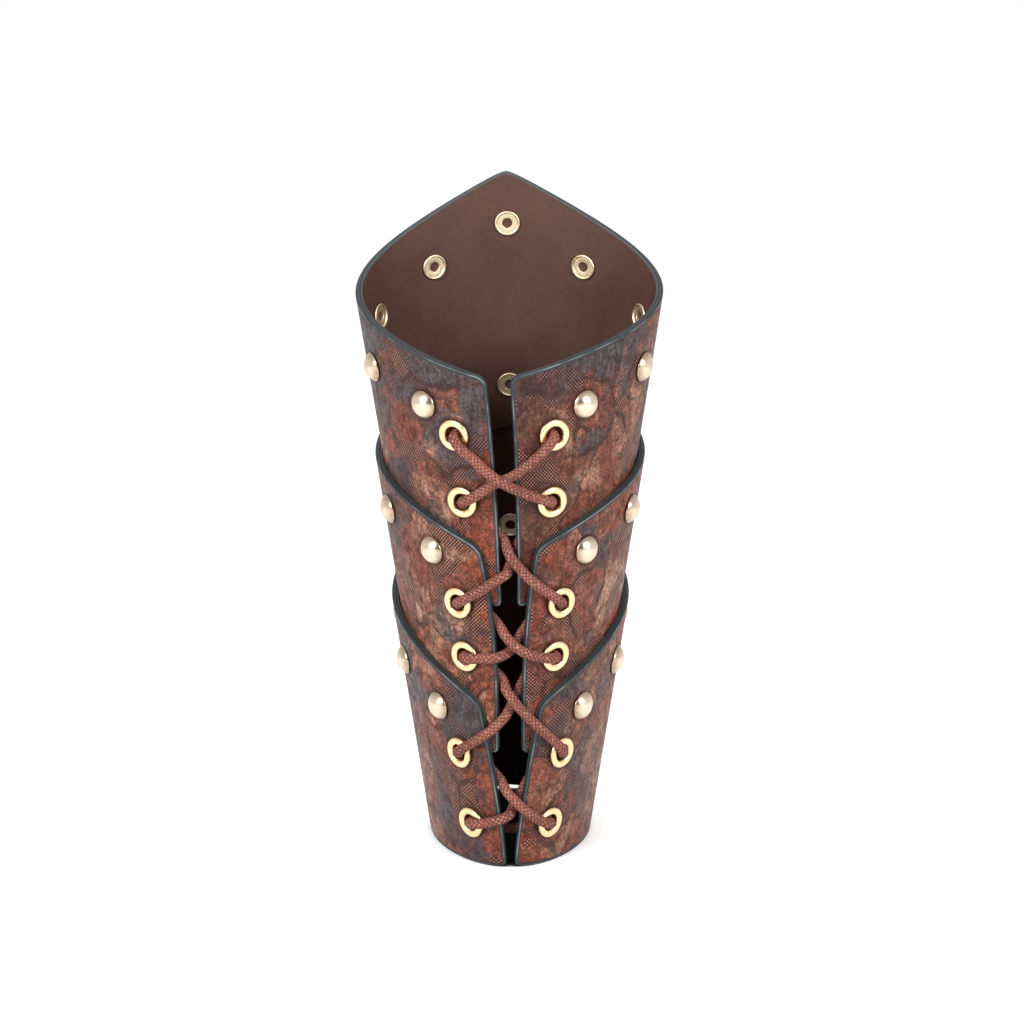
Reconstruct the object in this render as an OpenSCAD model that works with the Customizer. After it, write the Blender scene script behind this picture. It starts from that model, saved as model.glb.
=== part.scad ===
// Leather arm guard: three overlapping curved plates, riveted in a tapering
// tube that is open along the front and closed there by one lace.
// The narrow wrist end stands on the ground plane and the lacing faces -Y.
// Angles run round the shell from the middle of its back, 0, to the lacing, 180.

/* [Shell] */
// Width of the shell at the wrist end, at the middle of the upper leather
wrist_w = 43.5; // [40:0.5:50]
// Width of the shell at the height arm_level
arm_w = 102.3; // [92:0.5:112]
// Height at which arm_w is measured
arm_level = 200; // [190:1:215]
// Depth of the shell from back to lacing, the same at every height
shell_d = 87.2; // [82:0.2:94]
// How far the shell leans towards the lacing at arm_level
lean = 34.5; // [28:0.5:38]
// Share by which the back is broader than the front
egg = 0.077; // [0:0.005:0.1]
// Share by which front and back are drawn in to a soft point
taper_in = 0.123; // [0.05:0.005:0.14]
// How far the lacing pulls the front of the shell to -X at arm_level
front_pull = 7.7; // [0:0.1:8]
// How far the middle of the back is drawn to -X at arm_level
back_pull = 0.85; // [0:0.05:1.5]

/* [Leather] */
// Thickness of one plate with its lining
plate_t = 2.4; // [2:0.1:2.8]
// Thickness of the lining alone
lining_t = 0.8; // [0.6:0.1:1]
// How far the lower lining is trimmed short of the wrist edge
wrist_trim = 0.5; // [0.2:0.1:1]
// Air between two plates where they overlap
layer_gap = 0.25; // [0.2:0.05:0.4]
// Radius of the plates' corners beside the lacing
corner_r = 3; // [2:0.5:5]
// Radius that softens the peak of each upper edge, as a share of the half round
peak_soft = 0.02; // [0.01:0.005:0.06]

/* [Upper plate] */
// Height of the peak at the back
upper_peak = 232.1; // [228:0.1:238]
// Fall of the upper edge from the back to the lacing
upper_fall = 61.4; // [58:0.1:66]
// How early the upper edge falls: 0 is a straight fall
upper_bow = 0.55; // [0.4:0.05:0.6]
// Height of the lower edge at the back
upper_foot = 141; // [139:0.5:143]
// Fall of the lower edge from the back to the lacing
upper_foot_fall = 51.1; // [49:0.1:53]
// Half of the gap between the sides at the top of the lacing
upper_gap_top = 3.8; // [3:0.1:5]
// Half of the gap between the sides at the lower edge
upper_gap_foot = 2.6; // [2.2:0.1:3]

/* [Middle plate] */
// Height of the peak at the back
middle_peak = 168.3; // [166:0.5:172]
// Fall of the upper edge from the back to the lacing
middle_fall = 58.5; // [56:0.5:61]
// How early the upper edge falls
middle_bow = 0.11; // [0.05:0.01:0.2]
// Height of the lower edge at the back
middle_foot = 85; // [83:0.5:87]
// Fall of the lower edge from the back to the lacing
middle_foot_fall = 47.2; // [45:0.1:49]
// Half of the gap at the top of the lacing
middle_gap_top = 7.4; // [6:0.1:9]
// Half of the gap at the lower edge
middle_gap_foot = 3.2; // [2.6:0.1:4]

/* [Lower plate] */
// Height of the peak at the back
lower_peak = 118.4; // [116:0.5:121]
// Fall of the upper edge from the back to the lacing
lower_fall = 64.6; // [62:0.5:66]
// Half of the gap at the top of the lacing
lower_gap_top = 6.3; // [5.5:0.1:8]
// Half of the gap at the wrist
lower_gap_foot = 0.8; // [0.6:0.1:1.8]
// How far the wrist edge is cut up at the middle of the back
wrist_rise = 1.6; // [0:0.1:3]

/* [Studs] */
// Studs on each side of the one at the back
studs_per_side = 4; // [3:1:4]
// Spacing of the studs along the edge, as a share of the half round
stud_pitch = 0.197; // [0.18:0.005:0.205]
// Diameter of a stud's dome
dome_d = 10; // [9:0.2:11]
// Height of a stud's dome
dome_h = 3.2; // [2.4:0.1:3.6]
// Diameter of the flat cap inside
back_cap_d = 8.8; // [8:0.2:9.2]
// Diameter of the bore in the flat cap
back_bore_d = 3.4; // [3.2:0.1:3.8]
// Distance of the upper plate's studs below its edge
upper_stud_drop = 17.7; // [16.5:0.1:18.5]
// Distance of the middle plate's studs below its edge
middle_stud_drop = 11.6; // [11:0.1:12.2]
// Distance of the lower plate's studs below its edge
lower_stud_drop = 14.7; // [14:0.1:15.4]

/* [Eyelets] */
// Outer diameter of an eyelet
eyelet_d = 11; // [10:0.2:11.6]
// Diameter of an eyelet's hole
eyelet_hole_d = 5.8; // [5.4:0.1:6.2]
// Diameter of the washer inside
washer_d = 10; // [9.4:0.2:10.4]
// Upper eyelets: angle, and share of the way from the middle plate's edge up to their own
upper_eyelets_at = [[154.3, 0.5929], [155, 0.2003]];
// Middle eyelets: angle, and share of the way from the lower plate's edge up to their own
middle_eyelets_at = [[150, 0.5445], [151.9, 0.2077]];
// Lower eyelets: angle, and share of the way from the wrist up to their plate's edge
lower_eyelets_at = [[147.3, 0.6203], [153.5, 0.2471]];

/* [Lace] */
// Diameter of the lace
lace_d = 3.5; // [3:0.1:3.8]

/* [Hidden] */
$fn = 48;

leather_brown = "#7a4436";
lining_brown = "#5c3c34";
stud_gold = "#cdb996";
eyelet_gold = "#e6c890";
lace_red = "#8f5245";

// The plates lie on parallel shells, one leather and one air gap apart
layer_pitch = plate_t + layer_gap;
level_slope = (arm_w - wrist_w) / 2 / arm_level;
front_share = 1 - egg - taper_in;

function half_w(z) = wrist_w / 2 + level_slope * z;
function across(a) = sin(a) * (1 + egg * cos(a) - taper_in * pow(cos(a), 2));
function pulled(a, z) = pow(z / arm_level, 4)
    * (front_pull * pow((1 - cos(a)) / 2, 4) + back_pull * pow((1 + cos(a)) / 2, 4));
// A point of the middle surface of the upper leather
function shell(a, z) =
    [half_w(z) * across(a) - pulled(a, z), shell_d / 2 * cos(a) - lean * z / arm_level, z];
function unit(v) = v / norm(v);
// Outward normal of the shell
function outward(a, z) =
    unit(cross(shell(a, z + 1) - shell(a, z - 1), shell(a + 0.5, z) - shell(a - 0.5, z)));
// A point off the shell, outwards for a positive height
function off_shell(a, z, h) = shell(a, z) + h * outward(a, z);
// Angle of the shell's front edge that leaves half a gap g beside the lacing
function edge_angle(z, g) = 180 - asin(g / (half_w(z) * front_share));

// Length round the shell from the back to each degree, at height z
step_a = 2;
function arc_steps(z, a = 0, s = 0) = a >= 180 ? [s]
    : concat([s], arc_steps(z, a + step_a, s + norm(shell(a + step_a, z) - shell(a, z))));
// Angle at which the length round the shell is the share u of the half round
function angle_at(u, z) =
    let (s = arc_steps(z), goal = u * s[len(s) - 1],
        i = max([for (k = [0:len(s) - 2]) if (s[k] <= goal) k]))
    step_a * (i + (goal - s[i]) / (s[i + 1] - s[i]));

// Edge line [height at the back, fall to the lacing, bow]: its height at the angle a
function soft(t) =
    (sqrt(t * t + peak_soft * peak_soft) - peak_soft) / (sqrt(1 + peak_soft * peak_soft) - peak_soft);
function line_z(e, a) = let (t = a / 180) e[0] - e[1] * (soft(t) + e[2] * t * (1 - t));
// The wrist edge lies flat but for a shallow arch at the back
arch_share = 0.4;
function wrist_z(a) = wrist_rise * pow(max(0, 1 - a / 180 / arch_share), 2);
// How much a rounded corner takes off the edge at a distance d from the side
function corner_cut(d, r) = d >= r ? 0 : r - sqrt(r * r - pow(r - d, 2));

// A plate: layer number, upper edge, lower edge, half gaps at top and foot with their curve,
// drop of the studs below the edge, and how much closer they sit at the back
upper = [0, [upper_peak, upper_fall, upper_bow], [upper_foot, upper_foot_fall, -0.234],
         [upper_gap_top, upper_gap_foot, 1], upper_stud_drop, 1.06];
middle = [1, [middle_peak, middle_fall, middle_bow], [middle_foot, middle_foot_fall, -0.1],
          [middle_gap_top, middle_gap_foot, 3], middle_stud_drop, 1];
lower = [2, [lower_peak, lower_fall, 0], [],
         [lower_gap_top, lower_gap_foot, 1.5], lower_stud_drop, 1];

function top_z(p, a) = line_z(p[1], a);
function foot_z(p, a) = len(p[2]) == 0 ? wrist_z(a) : line_z(p[2], a);
function foot_corner(p) = len(p[2]) == 0 ? corner_r / 2 : corner_r;
function half_gap(p, z) =
    let (z0 = foot_z(p, 180), z1 = top_z(p, 180), share = max(0, (z - z0) / (z1 - z0)))
    p[3][1] + (p[3][0] - p[3][1]) * pow(share, p[3][2]);
function side_angle(p, z) = edge_angle(z, half_gap(p, z));

// Stations round half a plate. Up to 1 they lie at the same angles on every plate, so that
// the faces of two layers run parallel; from 1 to 2 they close up to the plate's own side.
plain_round = 150;
even_stations = 18;
corner_stations = 7;
half_stations = concat(
    [for (i = [0:even_stations]) i / even_stations],
    [for (i = [1:corner_stations]) 1 + sin(90 * i / corner_stations)]);
near_front = 170;
stations = concat([for (i = [len(half_stations) - 1:-1:1]) -half_stations[i]], half_stations);
rows = 4;

function station_angle(p, s, z) =
    s <= 1 ? s * plain_round : plain_round + (s - 1) * (side_angle(p, z) - plain_round);
function side_distance(p, s, z) = norm(shell(side_angle(p, z), z) - shell(station_angle(p, s, z), z));
function top_end(p, s) =
    let (z0 = top_z(p, station_angle(p, s, top_z(p, near_front))), z1 = top_z(p, station_angle(p, s, z0)))
    z1 - corner_cut(side_distance(p, s, z1), corner_r);
function foot_end(p, s) =
    let (z0 = foot_z(p, station_angle(p, s, foot_z(p, near_front))), z1 = foot_z(p, station_angle(p, s, z0)))
    z1 + corner_cut(side_distance(p, s, z1), foot_corner(p));

// The wrist edge is cut level, though its leather slants: it starts higher on an outer face
function level_cut(p, s, z, h) = len(p[2]) > 0 ? 0 : h * outward(station_angle(p, s, z), z)[2];

// Grid of points at one height off the shell, over the whole plate
function plate_grid(p, h, trim) = [
    for (s = stations)
    let (z = foot_end(p, abs(s)), z0 = z + trim - level_cut(p, abs(s), z, h), z1 = top_end(p, abs(s)))
    for (j = [0:rows])
    let (z = z0 + (z1 - z0) * j / rows)
    off_shell(sign(s) * station_angle(p, abs(s), z), z, h)];

// Solid leather between two heights off the shell, its lower edge trimmed short by trim
module leather_layer(p, h_in, h_out, trim) {
    cols = len(stations);
    per = rows + 1;
    all_in = cols * per;
    ring = concat(
        [for (i = [0:cols - 1]) i * per],
        [for (j = [1:rows]) (cols - 1) * per + j],
        [for (i = [cols - 2:-1:0]) i * per + rows],
        [for (j = [rows - 1:-1:1]) j]);
    polyhedron(
        points = concat(plate_grid(p, h_in, trim), plate_grid(p, h_out, trim)),
        faces = concat(
            [for (i = [0:cols - 2], j = [0:rows - 1]) let (a = i * per + j, b = a + per)
                each [[a, a + 1, b + 1], [a, b + 1, b]]],
            [for (i = [0:cols - 2], j = [0:rows - 1]) let (a = all_in + i * per + j, b = a + per)
                each [[a, b + 1, a + 1], [a, b, b + 1]]],
            [for (k = [0:len(ring) - 1]) let (a = ring[k], b = ring[(k + 1) % len(ring)])
                each [[a, b, b + all_in], [a, b + all_in, a + all_in]]]),
        convexity = 10);
}

// Heights off the shell of a plate's two faces
function face_h(p) = p[0] * layer_pitch + plate_t / 2;
function back_h(p) = p[0] * layer_pitch - plate_t / 2;

// Places children on the shell, with their z axis along the outward normal
module on_shell(spot, h) {
    n = outward(spot[0], spot[1]);
    translate(off_shell(spot[0], spot[1], h))
        rotate([0, acos(n[2]), atan2(n[1], n[0])])
            children();
}

// Studs: a row below the upper edge, from one side of the lacing to the other
function stud_spot(p, u) =
    let (a0 = angle_at(u, top_z(p, 180 * u) - p[4]), a1 = angle_at(u, top_z(p, a0) - p[4]))
    [a1, top_z(p, a1) - p[4]];
function stud_row(p) =
    let (row = studs_per_side * stud_pitch,
        one_side = [for (i = [0:studs_per_side]) stud_spot(p, row * pow(i / studs_per_side, p[5]))])
    concat([for (i = [studs_per_side:-1:1]) [-one_side[i][0], one_side[i][1]]], one_side);
upper_stud_spots = stud_row(upper);
middle_stud_spots = stud_row(middle);
lower_stud_spots = stud_row(lower);

post_air = 0.2;
sleeve_wall = 0.4;
post_r = back_bore_d / 2 - post_air;
sleeve_r = back_bore_d / 2 + sleeve_wall;
bore_fit = 0.1;
// A cut runs this far past the faces it goes through
cut_past = 3;
dome_sink = 0.25;
back_sink = 0.15;
seat_fit = 0.12;
back_plate = 0.55;
back_bead = 0.45;
arc_points = 10;

// Dome with its post, seated on z = 0 and reaching down through the stack
module stud(stack) {
    dome_edge = 0.35;
    union() {
        rotate_extrude()
            polygon(concat([[0, 0], [dome_d / 2, 0]],
                [for (i = [0:arc_points]) let (a = 90 * i / arc_points)
                    [dome_d / 2 * cos(a), dome_edge + (dome_h - dome_edge) * sin(a)]]));
        translate([0, 0, -stack + back_plate]) cylinder(h = stack - back_plate + post_air, r = post_r);
    }
}

// Flat cap inside with a beaded rim, and the tube that takes the post
module stud_back(stack) {
    bead_at = back_cap_d / 2 - back_bead;
    difference() {
        union() {
            translate([0, 0, -back_plate]) cylinder(h = back_plate, r = bead_at);
            rotate_extrude()
                polygon([for (i = [0:2 * arc_points]) let (a = 90 - 180 * i / (2 * arc_points))
                    [bead_at + back_bead * cos(a), -back_bead + back_bead * sin(a)]]);
            translate([0, 0, -back_plate]) cylinder(h = stack + back_plate - bore_fit, r = sleeve_r);
        }
        translate([0, 0, -cut_past]) cylinder(h = stack + 2 * cut_past, r = back_bore_d / 2);
    }
}

// Bore and seats that a stud needs between two heights off the shell
module stud_bore(spot, h_out, h_in) {
    on_shell(spot, h_in - cut_past) cylinder(h = h_out - h_in + 2 * cut_past, r = sleeve_r + bore_fit);
    on_shell(spot, h_out - dome_sink) cylinder(h = cut_past, r = dome_d / 2 + seat_fit);
    on_shell(spot, h_in - back_sink - cut_past) cylinder(h = cut_past, r = back_cap_d / 2 + seat_fit);
}

function stud_stack(p_out, p_in) = face_h(p_out) - dome_sink - back_h(p_in) + back_sink;

// Eyelets
eyelet_wall = 0.45;
eyelet_sink = 0.3;
eyelet_rise = 1.2;
washer_t = 0.5;
washer_air = 0.02;
curl_t = 0.4;
curl_over = 0.9;
barrel_r = eyelet_hole_d / 2 + eyelet_wall;
eyelet_stack = plate_t - eyelet_sink + back_sink;

function mirrored(spots) = [for (s = spots) [-s[0], s[1]]];
// Eyelets share out the height that shows between their plate's edge and the next one's
function eyelet_spots(p, p_below, at) =
    [for (s = at) let (z0 = len(p_below) == 0 ? 0 : top_z(p_below, s[0]))
        [s[0], z0 + s[1] * (top_z(p, s[0]) - z0)]];
upper_eyelet_spots = eyelet_spots(upper, middle, upper_eyelets_at);
middle_eyelet_spots = eyelet_spots(middle, lower, middle_eyelets_at);
lower_eyelet_spots = eyelet_spots(lower, [], lower_eyelets_at);

// Eyelet in one piece: rolled flange outside, barrel, and the end curled over the washer
module eyelet() {
    flange_mid = (eyelet_d / 2 + eyelet_hole_d / 2) / 2;
    flange_half = (eyelet_d - eyelet_hole_d) / 4;
    low = -eyelet_stack - washer_t - washer_air;
    rotate_extrude()
        polygon(concat(
            [[eyelet_hole_d / 2, low - curl_t], [barrel_r + curl_over, low - curl_t],
             [barrel_r + curl_over, low], [barrel_r, low], [barrel_r, 0], [eyelet_d / 2, 0]],
            [for (i = [1:arc_points]) let (a = 180 * i / arc_points)
                [flange_mid + flange_half * cos(a), eyelet_rise * sin(a)]]));
}

module washer() {
    translate([0, 0, -eyelet_stack - washer_t])
        difference() {
            cylinder(h = washer_t, r = washer_d / 2);
            translate([0, 0, -cut_past]) cylinder(h = washer_t + 2 * cut_past, r = barrel_r + bore_fit);
        }
}

module eyelet_bore(p, spot) {
    on_shell(spot, back_h(p) - cut_past) cylinder(h = plate_t + 2 * cut_past, r = barrel_r + bore_fit);
    on_shell(spot, face_h(p) - eyelet_sink) cylinder(h = cut_past, r = eyelet_d / 2 + seat_fit);
    on_shell(spot, back_h(p) - back_sink - cut_past) cylinder(h = cut_past, r = washer_d / 2 + seat_fit);
}

// Everything that is bored through one layer of leather
module bored(p, own_studs, own_in, next_studs, next_out, eyelets, h_in, h_out, trim = 0) {
    difference() {
        leather_layer(p, h_in, h_out, trim);
        for (s = own_studs) stud_bore(s, face_h(p), own_in);
        for (s = next_studs) stud_bore(s, next_out, back_h(p));
        for (s = concat(eyelets, mirrored(eyelets))) eyelet_bore(p, s);
    }
}

module upper_leather(h_in, h_out)
    bored(upper, upper_stud_spots, back_h(upper), middle_stud_spots, face_h(middle),
        upper_eyelet_spots, h_in, h_out);
module middle_leather(h_in, h_out)
    bored(middle, middle_stud_spots, back_h(upper), lower_stud_spots, face_h(lower),
        middle_eyelet_spots, h_in, h_out);
// The lower plate is laid out a little long and cut level at the wrist
wrist_over = 0.5;
module lower_leather(h_in, h_out, trim)
    difference() {
        bored(lower, lower_stud_spots, back_h(middle), [], 0, lower_eyelet_spots, h_in, h_out, trim);
        translate([-arm_w, -arm_w, -arm_w]) cube([2 * arm_w, 2 * arm_w, arm_w]);
    }

module upper_plate() { color(leather_brown) upper_leather(back_h(upper) + lining_t, face_h(upper)); }
module upper_lining() { color(lining_brown) upper_leather(back_h(upper), back_h(upper) + lining_t); }
module middle_plate() { color(leather_brown) middle_leather(back_h(middle) + lining_t, face_h(middle)); }
module middle_lining() { color(lining_brown) middle_leather(back_h(middle), back_h(middle) + lining_t); }
module lower_plate()
    color(leather_brown) lower_leather(back_h(lower) + lining_t, face_h(lower), -wrist_over);
module lower_lining()
    color(lining_brown)
        lower_leather(back_h(lower), back_h(lower) + lining_t, wrist_trim);

module studs_on(spots, p_out, p_in)
    color(stud_gold) for (s = spots) on_shell(s, face_h(p_out) - dome_sink) stud(stud_stack(p_out, p_in));
module stud_backs_on(spots, p_out, p_in)
    color(eyelet_gold)
        for (s = spots) on_shell(s, back_h(p_in) - back_sink) stud_back(stud_stack(p_out, p_in));
module upper_studs() studs_on(upper_stud_spots, upper, upper);
module middle_studs() studs_on(middle_stud_spots, middle, upper);
module lower_studs() studs_on(lower_stud_spots, lower, middle);
module upper_stud_backs() stud_backs_on(upper_stud_spots, upper, upper);
module middle_stud_backs() stud_backs_on(middle_stud_spots, middle, upper);
module lower_stud_backs() stud_backs_on(lower_stud_spots, lower, middle);

module eyelets_on(p, spots)
    color(eyelet_gold) for (s = spots) on_shell(s, face_h(p) - eyelet_sink) eyelet();
module washers_on(p, spots)
    color(eyelet_gold) for (s = spots) on_shell(s, face_h(p) - eyelet_sink) washer();

// Lace. Each point of its route is [degrees from the lacing line, + to the right, height,
// height off the shell]. One strand starts inside the left top eyelet and one inside the right.
lace_r = lace_d / 2;
knot_swell = 1.9;
knot_r = knot_swell * lace_r;
strand_left = [
    [-30, 146, -10], [-28, 148.5, -8], [-26, 151.5, -5.4], [-25.8, 152, -3.4], [-25, 151.4, 2.2],
    [-21.4, 149.2, 4.1], [-15, 145.6, 4.4], [-8, 141.6, 5.8], [-0.7, 138, 6.8], [8, 134.2, 5],
    [14, 132.2, 4.2], [19.4, 130.7, 4.2], [24, 129.2, 2.2], [24.8, 128.8, -3.3], [21.2, 125.5, -4.7],
    [13, 118.5, -4.2], [6.5, 112.3, -3.8], [2.2, 108.2, -2.6], [0.3, 106.3, -0.3], [-1, 105.2, 1.9],
    [-4.5, 104.2, 3.5], [-9, 102.8, 4.8], [-13, 101, 6], [-18, 99, 6.2], [-25, 96.2, 6.8],
    [-29, 94.6, 4.8], [-29.8, 94, -0.6], [-24.8, 92, -2.1], [-16, 89.5, -1.4], [-10, 87, -0.9],
    [-6, 85.2, 0.4], [-3, 83.4, 2], [1, 81.3, 3.4], [4.6, 79.8, 4.8], [9, 78.3, 6],
    [14, 77.2, 6.2], [22.4, 76, 6.8], [27.2, 75.5, 4.8], [27.9, 75.1, -0.6], [23, 72.8, -2.2],
    [15, 68.5, -1.6], [8, 63.2, -1.4], [3, 59.4, -0.2], [-0.8, 56.8, 2], [-3.6, 55, 4.3],
    [-7.7, 52.8, 6], [-11, 51, 7.3], [-15, 49.2, 8.7], [-20, 46.8, 8.9], [-27.4, 43.5, 9.5],
    [-31.8, 41.2, 7.5], [-32.4, 40.6, 2.1], [-27, 38, 0.3], [-18, 34.8, 1], [-12, 32.8, 1.4],
    [-7.4, 31, 2.1], [-4, 29.4, 4.1], [-1, 27.8, 6], [2.5, 26, 7.4], [6.5, 23.6, 8.6],
    [10, 21.6, 9], [14.5, 19.2, 9.1], [19.4, 17.5, 9.8], [25.4, 16, 7.5], [26.2, 15.6, 2.1]];
strand_right = [
    [30, 146, -10], [28, 148.5, -8], [26, 151.5, -5.4], [25.8, 152, -3.4], [25, 151.5, 2.2],
    [21, 149.2, 4.1], [15, 145, 3.5], [9, 141.6, 3.1], [3.5, 139, 2.9], [-3.7, 137.2, 2.9],
    [-9, 135.2, 3.2], [-14, 133, 3.5], [-19.6, 130.8, 4.2], [-24, 129.2, 2.2], [-24.8, 128.8, -3.3],
    [-20.8, 125.8, -4.7], [-13, 120.5, -4.2], [-7, 117.2, -3.8], [-3.6, 115.6, -3.2],
    [-1.4, 114, -1.4], [-0.2, 112.7, 0.6], [1.6, 110.9, 2.5], [4.6, 108.7, 3.6], [9.1, 105.4, 4.8],
    [13, 103, 6], [18, 100.3, 6.2], [25.2, 96.7, 6.8], [29, 94.6, 4.8], [29.8, 94, -0.6],
    [24.8, 91.6, -2.1], [17, 88, -1.4], [10, 83.6, -1.3], [5.5, 80.6, -0.8], [2, 78.4, 0.3],
    [-1.4, 77.2, 2], [-5, 76.9, 4.2], [-9, 76.8, 6.4], [-14, 76.6, 6.2], [-22.4, 76, 6.8],
    [-27.2, 75.5, 4.8], [-27.9, 75.1, -0.6], [-23, 73, -2.2], [-15, 70, -1.3], [-9.5, 68, -1],
    [-6.4, 66.6, -0.6], [-4, 65.2, 0.9], [-2.6, 64, 2.4], [0.5, 62, 3.7], [4.5, 59.2, 4.9],
    [8, 57, 6], [11, 55, 7.3], [15, 52.4, 8.7], [20, 49.2, 8.9], [27.8, 44, 9.5], [31.8, 41.3, 7.5],
    [32.4, 40.6, 2.1], [27, 37.6, 0.3], [18, 32.6, 1], [10, 27.2, 1.3], [5, 23.8, 1.8],
    [2, 21.8, 3], [0.5, 20.9, 4.6], [-0.8, 20.4, 6.4], [-4, 19.8, 8.2], [-8, 19, 8.8],
    [-13, 17.9, 9], [-19.4, 17.1, 9.6], [-25.4, 16, 7.5], [-26.2, 15.6, 2.1]];
// Slack between the two lowest eyelets, inside
slack_right = [[21.4, 13, 0], [11, 11, -3.2]];
slack_middle = [0, 10.4, -4];
// The route is written for eyelets at these heights, and moves with the real ones
route_levels = [15.7, 40.8, 75.3, 94.2, 128.9, 152];
eyelet_levels = [for (spots = [lower_eyelet_spots, middle_eyelet_spots, upper_eyelet_spots], i = [1, 0])
    spots[i][1]];
function laced_z(z) =
    z + lookup(z, [for (i = [0:len(route_levels) - 1])
        [route_levels[i], eyelet_levels[i] - route_levels[i]]]);
function turned(list) = [for (i = [len(list) - 1:-1:0]) list[i]];
function mirrored_route(list) = [for (q = list) [-q[0], q[1], q[2]]];
lace_route = concat(strand_left, slack_right, [slack_middle], turned(mirrored_route(slack_right)),
    turned(strand_right));
lace_points = [for (q = lace_route) off_shell(180 - q[0], laced_z(q[1]), q[2])];

// Curve through the points, with a point about every ring_step along it
ring_step = 2.4;
function heading(pts, i) = unit(pts[min(i + 1, len(pts) - 1)] - pts[max(i - 1, 0)]);
function blend(p0, m0, p1, m1, t) =
    (1 + 2 * t) * (1 - t) * (1 - t) * p0 + t * (1 - t) * (1 - t) * m0
    + t * t * (3 - 2 * t) * p1 + t * t * (t - 1) * m1;
function smooth_line(pts) = concat(
    [for (i = [0:len(pts) - 2])
        let (span = norm(pts[i + 1] - pts[i]), n = max(1, round(span / ring_step)))
        for (k = [0:n - 1])
            blend(pts[i], span * heading(pts, i), pts[i + 1], span * heading(pts, i + 1), k / n)],
    [pts[len(pts) - 1]]);

// Frames carried along the line, so that the tube doesn't twist
function carried(heads, ns) = len(ns) == len(heads) ? ns
    : let (t = heads[len(ns)], n = ns[len(ns) - 1]) carried(heads, concat(ns, [unit(n - (n * t) * t)]));

// Tube along the points, with a knot as a thickening some way in from each end
sides = 8;
knot_at = 6.5;
knot_spread = 2.2;
// A direction that the lace's first stretch doesn't have
odd_way = [0.3, 1, 0.2];
function tube_r(s, total) =
    let (d = (min(s, total - s) - knot_at) / knot_spread) lace_r + (knot_r - lace_r) * exp(-d * d);
function lengths(pts, i = 1, s = [0]) = i == len(pts) ? s
    : lengths(pts, i + 1, concat(s, [s[i - 1] + norm(pts[i] - pts[i - 1])]));
module tube(pts) {
    heads = [for (i = [0:len(pts) - 1]) heading(pts, i)];
    ns = carried(heads, [unit(cross(heads[0], odd_way))]);
    run = lengths(pts);
    total = run[len(run) - 1];
    last = len(pts) - 1;
    polyhedron(
        points = concat(
            [for (i = [0:last], k = [0:sides - 1])
                let (a = 360 * k / sides, r = tube_r(run[i], total))
                pts[i] + r * (cos(a) * ns[i] + sin(a) * cross(heads[i], ns[i]))],
            [pts[0], pts[last]]),
        faces = concat(
            [for (i = [0:last - 1], k = [0:sides - 1])
                let (a = i * sides + k, b = i * sides + (k + 1) % sides)
                each [[a, b + sides, b], [a, a + sides, b + sides]]],
            [for (k = [0:sides - 1]) [len(pts) * sides, k, (k + 1) % sides]],
            [for (k = [0:sides - 1])
                [len(pts) * sides + 1, last * sides + (k + 1) % sides, last * sides + k]]),
        convexity = 10);
}
lace_line = smooth_line(lace_points);
lace_length = let (run = lengths(lace_line)) run[len(run) - 1];
module lace() {
    echo(lace_length = lace_length, rings = len(lace_line));
    color(lace_red) tube(lace_line);
}

upper_plate();
upper_lining();
middle_plate();
middle_lining();
lower_plate();
lower_lining();
upper_studs();
middle_studs();
lower_studs();
upper_stud_backs();
middle_stud_backs();
lower_stud_backs();
eyelets_on(upper, mirrored(upper_eyelet_spots));  // upper_eyelets_left
eyelets_on(upper, upper_eyelet_spots);  // upper_eyelets_right
eyelets_on(middle, mirrored(middle_eyelet_spots));  // middle_eyelets_left
eyelets_on(middle, middle_eyelet_spots);  // middle_eyelets_right
eyelets_on(lower, mirrored(lower_eyelet_spots));  // lower_eyelets_left
eyelets_on(lower, lower_eyelet_spots);  // lower_eyelets_right
washers_on(upper, mirrored(upper_eyelet_spots));  // upper_washers_left
washers_on(upper, upper_eyelet_spots);  // upper_washers_right
washers_on(middle, mirrored(middle_eyelet_spots));  // middle_washers_left
washers_on(middle, middle_eyelet_spots);  // middle_washers_right
washers_on(lower, mirrored(lower_eyelet_spots));  // lower_washers_left
washers_on(lower, lower_eyelet_spots);  // lower_washers_right
lace();
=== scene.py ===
"""Leather arm guard: three overlapping curved plates, riveted in a tapering tube and laced in front.

The shell, the edge lines and the lace's route follow the part's own formulas. Lengths are
millimetres inside the functions, and metres in the meshes and in the panel.
"""

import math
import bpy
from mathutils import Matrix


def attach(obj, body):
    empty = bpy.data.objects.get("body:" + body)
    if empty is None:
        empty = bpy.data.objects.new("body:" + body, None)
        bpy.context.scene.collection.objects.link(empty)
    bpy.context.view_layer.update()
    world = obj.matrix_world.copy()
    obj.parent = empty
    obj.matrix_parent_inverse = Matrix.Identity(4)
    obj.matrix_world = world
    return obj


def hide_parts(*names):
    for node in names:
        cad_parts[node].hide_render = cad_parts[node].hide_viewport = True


bl_info = {
    "name": "Leather arm guard",
    "version": (1, 0, 0),
    "blender": (4, 5, 0),
    "location": "3D View > Sidebar > Arm guard",
    "description": "Makes a riveted and laced leather arm guard on its packed frame",
    "category": "Object",
}

from functools import partialmethod

import bpy
import numpy as np
from mathutils import Vector

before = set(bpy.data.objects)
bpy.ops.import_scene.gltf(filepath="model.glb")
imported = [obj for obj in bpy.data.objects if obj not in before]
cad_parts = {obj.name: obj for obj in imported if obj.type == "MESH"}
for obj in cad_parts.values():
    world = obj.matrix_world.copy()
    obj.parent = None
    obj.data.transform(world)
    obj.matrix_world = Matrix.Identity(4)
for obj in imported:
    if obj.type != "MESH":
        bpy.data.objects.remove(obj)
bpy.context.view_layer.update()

MM = 0.001
FLAT_MM = 100  # one unit of a piece's flat UV map

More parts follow.
